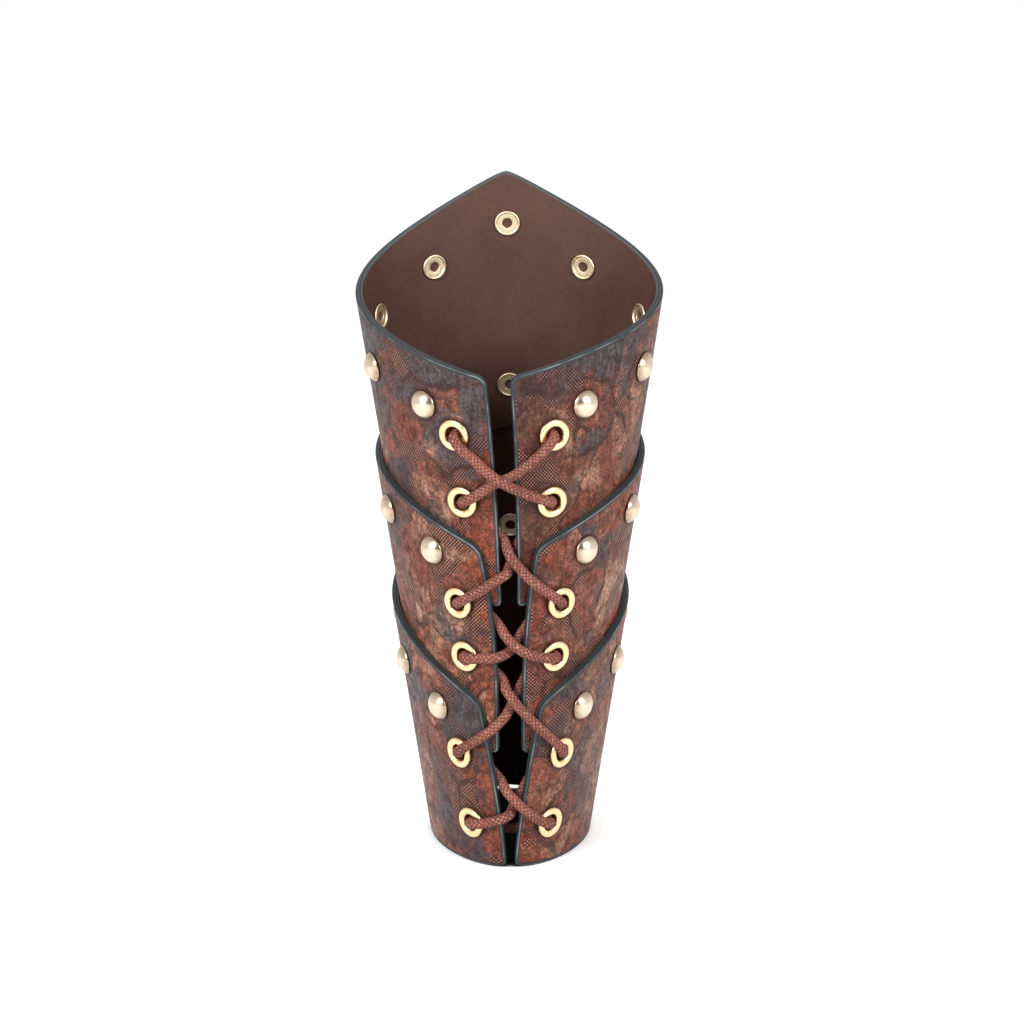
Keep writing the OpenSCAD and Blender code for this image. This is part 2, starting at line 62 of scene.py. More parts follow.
# Each plate: its layer counted outwards; the upper and lower edge as height at the back, fall
# to the lacing and bow; the half gap beside the lacing at the top, at the foot and its curve;
# how far the studs sit below the edge, and how much closer they sit at the back; angle of the
# eyelets, and their height as a share of the way from the next plate's edge up to their own; the
# plate that overlaps it, and the innermost one that its studs go through.
PLATES = {
    "upper": {"layer": 0, "top": (232.1, 61.4, 0.55), "foot": (141, 51.1, -0.234),
              "gap": (3.8, 2.6, 1), "drop": 17.7, "crowd": 1.06,
              "eyelets": ((154.3, 0.5929), (155, 0.2003)), "over": "middle", "under": "upper"},
    "middle": {"layer": 1, "top": (168.3, 58.5, 0.11), "foot": (85, 47.2, -0.1),
               "gap": (7.4, 3.2, 3), "drop": 11.6, "crowd": 1,
               "eyelets": ((150, 0.5445), (151.9, 0.2077)), "over": "lower", "under": "upper"},
    "lower": {"layer": 2, "top": (118.4, 64.6, 0), "foot": None,
              "gap": (6.3, 0.8, 1.5), "drop": 14.7, "crowd": 1,
              "eyelets": ((147.3, 0.6203), (153.5, 0.2471)), "over": None, "under": "middle"},
}
# The wrist edge's arch: its rise and the share of the half round that it takes up, and how much
# shorter the lining is there.
WRIST_RISE, ARCH_SHARE, WRIST_TRIM = 1.6, 0.4, 0.5
# Studs on each side of a row's middle one, and their spacing as a share of the half round.
STUDS_PER_SIDE, STUD_PITCH = 4, 0.197
# How far domes and flanges are pressed into the leather, and the air under caps and washers.
DOME_SINK, FLANGE_SINK, INNER_AIR = 0.25, 0.3, 0.15
# A sheet's grid: the angle up to which its columns are even, the steps to there and from there
# to the side, and the steps from foot to top.
PLAIN_ROUND, ROUND_STEPS, SIDE_STEPS, UP_STEPS = 150, 105, 40, 104
# Cells this near an eyelet's axis are cut out. Points this far along an axis are on the other
# side of the guard.
BORED_R, OTHER_SIDE = 4, 12

# The lace's route, each point as degrees from the lacing line (+ to the right), height, and
# height off the shell: the two strands from their knots inside the top eyelets, then the slack.
STRAND_LEFT = (
    (-30, 146, -10), (-28, 148.5, -8), (-26, 151.5, -5.4), (-25.8, 152, -3.4), (-25, 151.4, 2.2),
    (-21.4, 149.2, 4.1), (-15, 145.6, 4.4), (-8, 141.6, 5.8), (-0.7, 138, 6.8), (8, 134.2, 5),
    (14, 132.2, 4.2), (19.4, 130.7, 4.2), (24, 129.2, 2.2), (24.8, 128.8, -3.3), (21.2, 125.5, -4.7),
    (13, 118.5, -4.2), (6.5, 112.3, -3.8), (2.2, 108.2, -2.6), (0.3, 106.3, -0.3), (-1, 105.2, 1.9),
    (-4.5, 104.2, 3.5), (-9, 102.8, 4.8), (-13, 101, 6), (-18, 99, 6.2), (-25, 96.2, 6.8),
    (-29, 94.6, 4.8), (-29.8, 94, -0.6), (-24.8, 92, -2.1), (-16, 89.5, -1.4), (-10, 87, -0.9),
    (-6, 85.2, 0.4), (-3, 83.4, 2), (1, 81.3, 3.4), (4.6, 79.8, 4.8), (9, 78.3, 6),
    (14, 77.2, 6.2), (22.4, 76, 6.8), (27.2, 75.5, 4.8), (27.9, 75.1, -0.6), (23, 72.8, -2.2),
    (15, 68.5, -1.6), (8, 63.2, -1.4), (3, 59.4, -0.2), (-0.8, 56.8, 2), (-3.6, 55, 4.3),
    (-7.7, 52.8, 6), (-11, 51, 7.3), (-15, 49.2, 8.7), (-20, 46.8, 8.9), (-27.4, 43.5, 9.5),
    (-31.8, 41.2, 7.5), (-32.4, 40.6, 2.1), (-27, 38, 0.3), (-18, 34.8, 1), (-12, 32.8, 1.4),
    (-7.4, 31, 2.1), (-4, 29.4, 4.1), (-1, 27.8, 6), (2.5, 26, 7.4), (6.5, 23.6, 8.6),
    (10, 21.6, 9), (14.5, 19.2, 9.1), (19.4, 17.5, 9.8), (25.4, 16, 7.5), (26.2, 15.6, 2.1))
STRAND_RIGHT = (
    (30, 146, -10), (28, 148.5, -8), (26, 151.5, -5.4), (25.8, 152, -3.4), (25, 151.5, 2.2),
    (21, 149.2, 4.1), (15, 145, 3.5), (9, 141.6, 3.1), (3.5, 139, 2.9), (-3.7, 137.2, 2.9),
    (-9, 135.2, 3.2), (-14, 133, 3.5), (-19.6, 130.8, 4.2), (-24, 129.2, 2.2), (-24.8, 128.8, -3.3),
    (-20.8, 125.8, -4.7), (-13, 120.5, -4.2), (-7, 117.2, -3.8), (-3.6, 115.6, -3.2),
    (-1.4, 114, -1.4), (-0.2, 112.7, 0.6), (1.6, 110.9, 2.5), (4.6, 108.7, 3.6), (9.1, 105.4, 4.8),
    (13, 103, 6), (18, 100.3, 6.2), (25.2, 96.7, 6.8), (29, 94.6, 4.8), (29.8, 94, -0.6),
    (24.8, 91.6, -2.1), (17, 88, -1.4), (10, 83.6, -1.3), (5.5, 80.6, -0.8), (2, 78.4, 0.3),
    (-1.4, 77.2, 2), (-5, 76.9, 4.2), (-9, 76.8, 6.4), (-14, 76.6, 6.2), (-22.4, 76, 6.8),
    (-27.2, 75.5, 4.8), (-27.9, 75.1, -0.6), (-23, 73, -2.2), (-15, 70, -1.3), (-9.5, 68, -1),
    (-6.4, 66.6, -0.6), (-4, 65.2, 0.9), (-2.6, 64, 2.4), (0.5, 62, 3.7), (4.5, 59.2, 4.9),
    (8, 57, 6), (11, 55, 7.3), (15, 52.4, 8.7), (20, 49.2, 8.9), (27.8, 44, 9.5), (31.8, 41.3, 7.5),
    (32.4, 40.6, 2.1), (27, 37.6, 0.3), (18, 32.6, 1), (10, 27.2, 1.3), (5, 23.8, 1.8),
    (2, 21.8, 3), (0.5, 20.9, 4.6), (-0.8, 20.4, 6.4), (-4, 19.8, 8.2), (-8, 19, 8.8),
    (-13, 17.9, 9), (-19.4, 17.1, 9.6), (-25.4, 16, 7.5), (-26.2, 15.6, 2.1))
# The route is written for eyelets at these heights, and moves with the real ones.
ROUTE_LEVELS = (15.7, 40.8, 75.3, 94.2, 128.9, 152)
SLACK = ((21.4, 13, 0), (11, 11, -3.2), (0, 10.4, -4), (-11, 11, -3.2), (-21.4, 13, 0))


def length(name, text, mm):
    """A length property with its default given in millimetres."""
    return bpy.props.FloatProperty(
        name=name, description=text, default=mm * MM, min=0, precision=4, subtype="DISTANCE", unit="LENGTH")


def colour(name, text, red, green, blue):
    """A colour property with its default given as the 0-255 values that a screen shows."""
    screen = np.array([red, green, blue]) / 255
    plain = np.where(screen <= 0.04045, screen / 12.92, ((screen + 0.055) / 1.055) ** 2.4)
    return bpy.props.FloatVectorProperty(
        name=name, description=text, default=tuple(plain.tolist()), size=3, min=0, max=1, subtype="COLOR")


def share(name, text, value):
    """A property between 0 and 1."""
    return bpy.props.FloatProperty(name=name, description=text, default=value, min=0, max=1, subtype="FACTOR")


class GuardSizes(bpy.types.PropertyGroup):
    """Sizes of the arm guard."""

    wrist_w: length("Wrist width", "Width of the shell at the wrist end", 43.5)
    arm_w: length("Arm width", "Width of the shell at the arm level", 102.3)
    arm_level: length("Arm level", "Height at which the arm width is measured", 200)
    shell_d: length("Depth", "Depth of the shell from back to lacing", 87.2)
    lean: length("Lean", "How far the shell leans towards the lacing at the arm level", 34.5)
    egg: share("Egg", "Share by which the back is broader than the front", 0.077)
    taper_in: share("Taper", "Share by which front and back are drawn in to a soft point", 0.123)
    front_pull: length("Front pull", "How far the lacing pulls the front to -X at the arm level", 7.7)
    back_pull: length("Back pull", "How far the middle of the back is drawn to -X at the arm level", 0.85)
    plate_t: length("Leather", "Thickness of one plate with its lining", 2.4)
    lining_t: length("Lining", "Thickness of the lining alone", 0.8)
    layer_gap: length("Layer gap", "Air between two plates where they overlap", 0.25)
    corner_r: length("Corner radius", "Radius of the plates' corners beside the lacing", 3)
    dome_d: length("Dome diameter", "Diameter of a stud's dome", 10)
    dome_h: length("Dome height", "Height of a stud's dome", 3.2)
    back_cap_d: length("Inner cap", "Diameter of the flat cap inside", 8.8)
    back_bore_d: length("Inner cap bore", "Diameter of the bore in the flat cap", 3.4)
    eyelet_d: length("Eyelet", "Outer diameter of an eyelet", 11)
    eyelet_hole_d: length("Eyelet hole", "Diameter of an eyelet's hole", 5.8)
    washer_d: length("Washer", "Diameter of the washer inside", 10)
    lace_d: length("Lace", "Diameter of the lace", 3.5)
    emboss_pitch: length("Emboss pitch", "Pitch of the fine lattice pressed into the leather", 0.9)
    paint_w: length("Edge paint", "How far the edge paint reaches onto the leather's face", 1.25)


class GuardColours(bpy.types.PropertyGroup):
    """Colours of the arm guard."""

    maroon: colour("Maroon", "Leather's red-brown ground", 110, 57, 42)
    tan: colour("Tan", "Leather's pale worn patches", 152, 111, 90)
    grey: colour("Slate", "Leather's grey-blue patches", 54, 56, 60)
    rust: colour("Rust", "Leather's orange patches near the edges", 116, 51, 27)
    # This dark colour also serves as painted shade round the seats and between the lace's ridges.
    ink_and_shade: colour("Ink", "Dark colour in the pressed lattice and cracks", 50, 19, 12)
    paint: colour("Edge paint", "Painted edge", 42, 46, 48)
    # Pale edge paint: worn thin, and also a painted highlight on arrises and along the cut edge.
    scuff_and_highlight: colour("Scuffed paint", "Edge paint where it is worn thin", 110, 116, 119)
    lining: colour("Lining", "Smooth leather inside", 82, 57, 50)
    stud: colour("Studs", "Domes of the studs", 216, 198, 176)
    # Dull metal in pits, and also the painted shade and reflection round the metal's rim.
    tarnish_and_shade: colour("Tarnish", "Dull metal round the rim and in pits", 112, 86, 60)
    cap: colour("Inner caps", "Flat caps inside", 228, 208, 174)
    eyelet: colour("Eyelets", "Eyelets and washers", 236, 203, 158)
    lace: colour("Lace", "Yarn of the lace", 132, 77, 64)
    fleck: colour("Lace flecks", "Pale flecks in the lace", 214, 170, 158)
    dot_warm: colour("Warm dots", "Raised dots of the lattice on red-brown ground", 194, 148, 128)
    dot_grey: colour("Grey dots", "Raised dots of the lattice on slate", 128, 122, 122)
    # Painted shade deep in the studs' bores.
    bore: colour("Bores", "Dark inside the studs' bores", 20, 15, 11)
    floor: colour("Floor", "Floor", 232, 232, 232)
    card: colour("Card", "Dark card round the camera that the metal mirrors", 34, 30, 26)


def unit(v):
    """Vectors divided by their own length."""
    return v / np.linalg.norm(v, axis=-1, keepdims=True)


class Guard:
    """The sizes in millimetres and the formulas of the shell that all pieces share."""

    def __init__(self):
        sizes = bpy.context.scene.guard_sizes
        for key in GuardSizes.__annotations__:
            value = getattr(sizes, key)
            setattr(self, key, value if key in ("egg", "taper_in") else value / MM)
        self.pitch = self.plate_t + self.layer_gap
        self.slope = (self.arm_w - self.wrist_w) / 2 / self.arm_level

    def half_w(self, z):
        """Half width: grows evenly with the height."""
        return self.wrist_w / 2 + self.slope * z

    def shell(self, a, z):
        """Middle of the upper leather at an angle from the back and a height: an egg-shaped
        ring that widens upwards, leans to the lacing, and is drawn to -X near the lacing."""
        a, z = np.broadcast_arrays(np.radians(a), np.asarray(z, float))
        c = np.cos(a)
        across = np.sin(a) * (1 + self.egg * c - self.taper_in * c ** 2)
        pulled = (z / self.arm_level) ** 4 * (self.front_pull * ((1 - c) / 2) ** 4
                                              + self.back_pull * ((1 + c) / 2) ** 4)
        return np.stack([self.half_w(z) * across - pulled,
                         self.shell_d / 2 * c - self.lean * z / self.arm_level, z], -1)

    def outward(self, a, z):
        """Outward normal: the cross product of the steps in height and in angle."""
        return unit(np.cross(self.shell(a, z + 1) - self.shell(a, z - 1),
                             self.shell(a + 0.5, z) - self.shell(a - 0.5, z)))

    def off_shell(self, a, z, h):
        """A point h off the shell, along its normal."""
        return self.shell(a, z) + np.asarray(h)[..., None] * self.outward(a, z)

    def face_h(self, plate):
        """Height of a plate's outer face off the shell."""
        return plate["layer"] * self.pitch + self.plate_t / 2

    def back_h(self, plate):
        """Height of a plate's inner face off the shell."""
        return plate["layer"] * self.pitch - self.plate_t / 2

    def grip(self):
        """Distance from the seat of an eyelet's flange to that of its washer."""
        return self.plate_t - FLANGE_SINK + INNER_AIR

    def off_axis(self, points, spot, h):
        """Distance of points from the shell's normal at a spot, and how far along it they lie."""
        off = points - self.off_shell(*spot, h)
        along = off @ self.outward(*spot)
        return np.sqrt(np.maximum((off ** 2).sum(1) - along ** 2, 0)), along

    def top_z(self, plate, a):
        """Upper edge: a straight fall from the back to the lacing, softened at its peak, with
        a bow added that is nothing at both ends."""
        peak, fall, bow = plate["top"]
        t = np.abs(a) / 180
        return peak - fall * (soft(t) + bow * t * (1 - t))

    def foot_z(self, plate, a):
        """Lower edge: as the upper edge, or the wrist's flat edge with its shallow arch."""
        t = np.abs(a) / 180
        if plate["foot"] is None:
            return WRIST_RISE * np.maximum(0, 1 - t / ARCH_SHARE) ** 2
        start, fall, bow = plate["foot"]
        return start - fall * (soft(t) + bow * t * (1 - t))

    def side_angle(self, plate, z):
        """Angle of a plate's side: half a gap from the lacing line, where the gap opens
        upwards by a power of the height."""
        top, foot, curve = plate["gap"]
        z0, z1 = self.foot_z(plate, 180), self.top_z(plate, 180)
        gap = foot + (top - foot) * np.maximum(0, (z - z0) / (z1 - z0)) ** curve
        return 180 - np.degrees(np.arcsin(gap / (self.half_w(z) * (1 - self.egg - self.taper_in))))

    def station_angle(self, plate, s, z):
        """Angle of a station: even up to 1, and from 1 to 2 closing up to the plate's side."""
        return np.where(s <= 1, s * PLAIN_ROUND,
                        PLAIN_ROUND + (s - 1) * (self.side_angle(plate, z) - PLAIN_ROUND))

    def ends(self, plate, s):
        """Lower and upper end of each station's column, rounded off at the corners: a quarter
        circle is taken off by its distance from the side."""
        ends = []
        for edge, sign, radius in ((self.foot_z, 1, self.corner_r if plate["foot"] else self.corner_r / 2),
                                   (self.top_z, -1, self.corner_r)):
            z = edge(plate, self.station_angle(plate, s, edge(plate, 170)))
            z = edge(plate, self.station_angle(plate, s, z))
            side = np.linalg.norm(self.shell(self.side_angle(plate, z), z)
                                  - self.shell(self.station_angle(plate, s, z), z), axis=-1)
            left = np.clip(radius - side, 0, radius)
            ends.append(z + sign * (radius - np.sqrt(radius ** 2 - left ** 2)))
        return ends

    def rounds(self, z):
        """Angles round half the shell, and the length from the back to each at one height."""
        a = np.arange(0, 181, 2)
        return a, np.cumsum(np.r_[0, np.linalg.norm(np.diff(self.shell(a, z), axis=0), axis=1)])

    def length_to(self, angle, z):
        """Length round the shell from the back to an angle."""
        a, run = self.rounds(z)
        return np.interp(angle, a, run)

    def angle_at(self, u, z):
        """Angle at which the length round the shell is the share u of the half round."""
        a, run = self.rounds(z)
        return float(np.interp(u * run[-1], run, a))

    def stud_spots(self, plate):
        """Angle and height of a plate's studs, in a row below its upper edge."""
        spots = []
        for i in range(-STUDS_PER_SIDE, STUDS_PER_SIDE + 1):
            u = STUDS_PER_SIDE * STUD_PITCH * (abs(i) / STUDS_PER_SIDE) ** plate["crowd"]
            a = self.angle_at(u, self.top_z(plate, 180 * u) - plate["drop"])
            a = self.angle_at(u, self.top_z(plate, a) - plate["drop"])
            spots.append((math.copysign(a, i), self.top_z(plate, a) - plate["drop"]))
        return spots

    def eyelet_spots(self, plate, side):
        """Angle and height of a plate's eyelets on one side, which share out the height that
        shows between the plate's edge and the next one's."""
        below = PLATES.get(plate["over"])
        spots = []
        for a, part in plate["eyelets"]:
            low = self.top_z(below, a) if below else 0
            spots.append((side * a, low + part * (self.top_z(plate, a) - low)))
        return spots

    def studs_through(self, name):
        """Spots of all studs that show on or in a plate, with the height of their domes' seat."""
        return [(spot, self.face_h(PLATES[other])) for other in (name, PLATES[name]["over"]) if other
                for spot in self.stud_spots(PLATES[other])]


def soft(t):
    """Straight line from 0 to 1 with its start rounded: the root of the square plus a square."""
    s = 0.02
    return (np.sqrt(t * t + s * s) - s) / (math.sqrt(1 + s * s) - s)


def add_object(name, data):
    """A new object of the scene."""
    thing = bpy.data.objects.new(name, data)
    bpy.context.scene.collection.objects.link(thing)
    return thing


def put_mesh(name, points, faces, look, slot, nodes, sharp=40, uv=None, **values):
    """Writes points (mm) and faces into a mesh at the origin, with a float attribute for each
    named value and a flat UV map, and lets the piece stand for its CAD nodes."""
    mesh = bpy.data.meshes.new(name)
    mesh.from_pydata((points * MM).tolist(), [], [f for part in faces for f in part.tolist()])
    for key, value in values.items():
        kept = mesh.attributes.new(key, "FLOAT", "POINT").data
        kept.foreach_set("value", np.ravel(value).astype(np.float32))
    if uv is not None:
        corners = np.empty(len(mesh.loops), np.int32)
        mesh.loops.foreach_get("vertex_index", corners)
        flat = mesh.uv_layers.new(name="flat").data
        flat.foreach_set("uv", (uv[corners] / FLAT_MM).astype(np.float32).ravel())
    mesh.shade_smooth()
    mesh.set_sharp_from_angle(angle=math.radians(sharp))
    mesh.validate()
    mesh.materials.append(look)
    piece = add_object(name, mesh)
    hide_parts(*nodes)
    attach(piece, "root")


def edge_distance(points, outline):
    """Distance of each point from the nearest straight piece of a closed outline."""
    start = outline.astype(np.float32)
    along = np.roll(start, -1, axis=0) - start
    length2 = np.maximum((along ** 2).sum(1), 1e-9)
    parts = []
    for block in np.array_split(points.astype(np.float32), max(1, len(points) // 1500)):
        off = block[:, None] - start
        t = np.clip((off * along).sum(2) / length2, 0, 1)
        parts.append(np.sqrt(((off - t[..., None] * along) ** 2).sum(2).min(1)))
    return np.concatenate(parts).astype(float)


def rim_of(cols, rows, inset=0):
    """Numbers of a grid's outline points, in the order in which walls face outwards, or of the
    points that lie some steps in from them."""
    i = np.clip(np.arange(cols), inset, cols - 1 - inset)
    j = np.clip(np.arange(rows), inset, rows - 1 - inset)
    return np.r_[i * rows + inset, (cols - 1 - inset) * rows + j[1:],
                 i[-2::-1] * rows + rows - 1 - inset, inset * rows + j[-2:0:-1]]


def put_sheet(guard, name, kind, look, slot, h_in, h_out, trim, round_out, round_in,
              dip=1.1, shade_spread=3.0, bulge=0.1, inset=12):
    """A plate or its lining: a slab of leather between two heights off the shell.

    Both faces are grids of angle and height over the plate's outline. Near the outline a face
    drops by a quarter circle of its distance from it, which rounds the arris, and round each
    stud and eyelet it dips by a bell curve of the distance from the seat. A wider one marks the
    painted shade there. The cut edge bulges a little. Cells at an eyelet's bore are left out and walled."""
    plate, mean = PLATES[name], (h_in + h_out) / 2
    to_side = np.sin(np.linspace(0, np.pi / 2, SIDE_STEPS + 1)[1:])
    half = np.r_[np.linspace(0, 1, ROUND_STEPS + 1), 1 + to_side]
    s = np.r_[-half[:0:-1], half]
    v = 0.5 - 0.5 * np.cos(np.linspace(0, np.pi, UP_STEPS + 1))
    z0, z1 = guard.ends(plate, np.abs(s))
    cols, rows = len(s), len(v)
    total = cols * rows

    def grid(h):
        tilt = guard.outward(guard.station_angle(plate, np.abs(s), z0), z0)[:, 2]
        low = z0 + trim - (plate["foot"] is None) * h * tilt
        z = low[:, None] + (z1 - low)[:, None] * v
        return np.sign(s)[:, None] * guard.station_angle(plate, np.abs(s)[:, None], z), z

    a, z = grid(mean)
    girth = guard.length_to(np.abs(a), (z0.min() + z1.max()) / 2)
    uv = np.stack([np.sign(a) * girth, z], -1).reshape(-1, 2)
    middle = guard.off_shell(a, z, mean).reshape(-1, 3)
    rim = rim_of(cols, rows)
    edge = edge_distance(middle, middle[rim])

    eyelets = [spot for side in (-1, 1) for spot in guard.eyelet_spots(plate, side)]
    seats = [(spot, guard.dome_d / 2, DOME_SINK) for spot, at in guard.studs_through(name) if at >= h_out]
    seats += [(spot, guard.eyelet_d / 2, FLANGE_SINK) for spot in eyelets]
    faces_at, seat = [], np.zeros(total)
    for h, way, radius in ((h_in, -1, round_in), (h_out, 1, round_out)):
        a, z = grid(h)
        near = np.clip(radius - edge, 0, radius)
        height = h - way * (radius - np.sqrt(radius ** 2 - near ** 2)).reshape(a.shape)
        flat = guard.off_shell(a, z, np.full(a.shape, h)).reshape(-1, 3)
        for spot, seat_r, sink in seats:
            out, along = guard.off_axis(flat, spot, h)
            past, here = np.maximum(0, out - seat_r), np.abs(along) < OTHER_SIDE
            bell = np.exp(-past ** 2 / dip) * here
            height -= way * (sink * bell * (0.5 if way < 0 else 1)).reshape(a.shape)
            # A wider bell round each seat is kept as the seat value, which the leather uses to paint shade
            # round studs and eyelets.
            seat = np.maximum(seat, np.exp(-past ** 2 / shade_spread) * here)
        faces_at.append(guard.off_shell(a, z, height).reshape(-1, 3))

    inner, outer = faces_at
    away = unit(middle[rim] - middle[rim_of(cols, rows, inset)])
    points = np.concatenate([outer, inner, (inner[rim] + outer[rim]) / 2 + bulge * away])
    points[:, 2] = np.maximum(points[:, 2], 0)

    number = np.arange(total).reshape(cols, rows)
    quad = np.stack([number[:-1, :-1], number[:-1, 1:], number[1:, 1:], number[1:, :-1]], -1)
    centre = middle[quad.reshape(-1, 4)].mean(1)
    bored = np.zeros(len(centre), bool)
    for spot in eyelets:
        out, along = guard.off_axis(centre, spot, 0)
        bored |= (out < BORED_R) & (np.abs(along) < OTHER_SIDE)
    kept = ~bored.reshape(quad.shape[:2])
    skin = quad[kept]
    rims = (rim, 2 * total + np.arange(len(rim)), rim + total)
    walls = [np.stack([one, np.roll(one, -1), np.roll(two, -1), two], -1)
             for one, two in zip(rims, rims[1:])]
    for axis, way in ((0, 1), (0, -1), (1, 1), (1, -1)):
        i, j = np.nonzero(np.diff(kept.astype(int), axis=axis) == way)
        p, q = (number[i + 1, j + axis], number[i + 1 - axis, j + 1])[::way]
        walls.append(np.stack([p + total, q + total, q, p], -1))

    zeros = np.zeros(len(rim))
    put_mesh(f"{name}_{kind}_leather", points, [skin, skin[:, ::-1] + total] + walls, look, slot,
             [f"{name}_{kind}"], uv=np.concatenate([uv, uv, uv[rim]]),
             edge=np.concatenate([edge, edge, zeros]),
             depth=np.concatenate([np.zeros(total), np.ones(total), zeros + 0.5]),
             seat=np.concatenate([seat, seat, zeros]))


def tube_faces(rings, sides, closed=False):
    """Faces of a tube of rings of points. A closed one joins its last ring to its first. An open
    one ends in fans about two points that are numbered after the rings."""
    number = np.arange(rings * sides).reshape(rings, sides)
    if closed:
        number = np.vstack([number, number[:1]])
    side = np.roll(number, -1, axis=1)
    faces = [np.stack([number[:-1], side[:-1], side[1:], number[1:]], -1).reshape(-1, 4)]
    if not closed:
        end = rings * sides
        faces.append(np.stack([side[0], number[0], np.full(sides, end)], -1))
        faces.append(np.stack([number[-1], side[-1], np.full(sides, end + 1)], -1))
    return faces


def turned(profile, closed, sides=56):
    """A profile of radius and height turned about the axis. An open profile starts and ends on
    the axis. Returns points, faces and each point's share of the largest radius."""
    profile = np.array(profile, float)
    ring = profile if closed else profile[1:-1]
    turn = np.linspace(0, 2 * np.pi, sides, endpoint=False)
    points = np.stack([ring[:, :1] * np.cos(turn), ring[:, :1] * np.sin(turn),
                       np.repeat(ring[:, 1:], sides, axis=1)], -1).reshape(-1, 3)
    if not closed:
        points = np.vstack([points, [[0, 0, profile[0, 1]], [0, 0, profile[-1, 1]]]])
    rim = np.hypot(points[:, 0], points[:, 1]) / profile[:, 0].max()
    return points, tube_faces(len(ring), sides, closed), rim


def put_copies(guard, name, spots, h, points, faces, rim, look, slot, node):
    """Copies of a turned piece as one object, with their axes along the shell's normals at the
    spots, at height h."""
    all_points, all_faces = [], [[] for _ in faces]
    for number, (a, z) in enumerate(spots):
        n = guard.outward(a, z)
        u = unit(np.cross(n, [0, 0, 1.0]))
        all_points.append(guard.off_shell(a, z, h) + points @ np.stack([u, np.cross(n, u), n]))
        for kind, part in zip(all_faces, faces):
            kind.append(part + number * len(points))
    put_mesh(name, np.concatenate(all_points), [np.concatenate(kind) for kind in all_faces],
             look, slot, [node], rim=np.tile(rim, len(spots)))


def arc(r0, z0, r, first, last, count=9):
    """Points of an arc about (r0, z0), from one angle to another in degrees."""
    a = np.radians(np.linspace(first, last, count))
    return np.stack([r0 + r * np.cos(a), z0 + r * np.sin(a)], -1)


def headings(line):
    """Direction of a line at each point: along the straight line between its neighbours."""
    return unit(np.r_[line[1:], line[-1:]] - np.r_[line[:1], line[:-1]])


def smooth_line(points, step):
    """Cubic curve through the points, with their headings and a new point about every step."""
    head = headings(points)
    span = np.linalg.norm(np.diff(points, axis=0), axis=1)
    count = np.maximum(1, np.round(span / step)).astype(int)
    i = np.repeat(np.arange(len(span)), count)
    t = ((np.arange(count.sum()) - np.repeat(np.cumsum(count) - count, count)) / count[i])[:, None]
    reach = span[i][:, None]
    line = ((1 + 2 * t) * (1 - t) ** 2 * points[i] + t * (1 - t) ** 2 * reach * head[i]
            + t * t * (3 - 2 * t) * points[i + 1] + t * t * (t - 1) * reach * head[i + 1])
    return np.vstack([line, points[-1:]])


def lace_tube(guard, sides=32, yarns=6, lay=9.0, step=0.3, knot_at=6.5, knot_r=2.2, wrap_pitch=2.6):
    """The lace: a braided tube along its route. Two families of yarns wind round it both ways;
    in every second cell one family lies on top, as a ridge that arches over the other. Stopper
    knots thicken it near both ends as a bell curve with three turns of lace in it."""
    route = np.array(STRAND_LEFT + SLACK + STRAND_RIGHT[::-1], float)
    now = [guard.eyelet_spots(PLATES[name], 1)[i][1] for name in ("lower", "middle", "upper") for i in (1, 0)]
    route[:, 1] += np.interp(route[:, 1], ROUTE_LEVELS, np.subtract(now, ROUTE_LEVELS))
    line = smooth_line(guard.off_shell(180 - route[:, 0], route[:, 1], route[:, 2]), step)
    head = headings(line)
    run = np.cumsum(np.r_[0, np.linalg.norm(np.diff(line, axis=0), axis=1)])
    side = np.empty_like(line)
    side[0] = unit(np.cross(head[0], [0.3, 1, 0.2]))
    for i in range(1, len(line)):
        side[i] = unit(side[i - 1] - (side[i - 1] @ head[i]) * head[i])
    turn = np.linspace(0, 1, sides, endpoint=False)[None, :]
    p = yarns * (turn + run[:, None] / lay)
    q = yarns * (turn - run[:, None] / lay)
    over = (np.floor(p) + np.floor(q)) % 2 < 1
    across_p, across_q = np.sin(np.pi * (p % 1)), np.sin(np.pi * (q % 1))
    ridge = np.where(over, across_p * (0.55 + 0.45 * across_q), across_q * (0.55 + 0.45 * across_p))
    yarn = np.where(over, np.sin(np.floor(p) * 12.9), np.sin(np.floor(q) * 78.2 + 1)) * 0.5 + 0.5
    from_end = np.minimum(run, run[-1] - run)[:, None] - knot_at
    bell = np.exp(-(from_end / knot_r) ** 2)
    wraps = 0.5 + 0.5 * np.cos(2 * np.pi * (from_end / wrap_pitch + turn))
    radius = guard.lace_d / 2 * ((0.9 + 0.12 * ridge) * (1 + 0.9 * bell * (0.72 + 0.28 * wraps)))
    angle = 2 * np.pi * turn[..., None]
    points = line[:, None] + radius[..., None] * (
        np.cos(angle) * side[:, None] + np.sin(angle) * np.cross(head, side)[:, None])
    points = np.vstack([points.reshape(-1, 3), line[:1], line[-1:]])
    return points, tube_faces(len(line), sides), np.r_[ridge.ravel(), 0, 0], np.r_[yarn.ravel(), 0, 0]


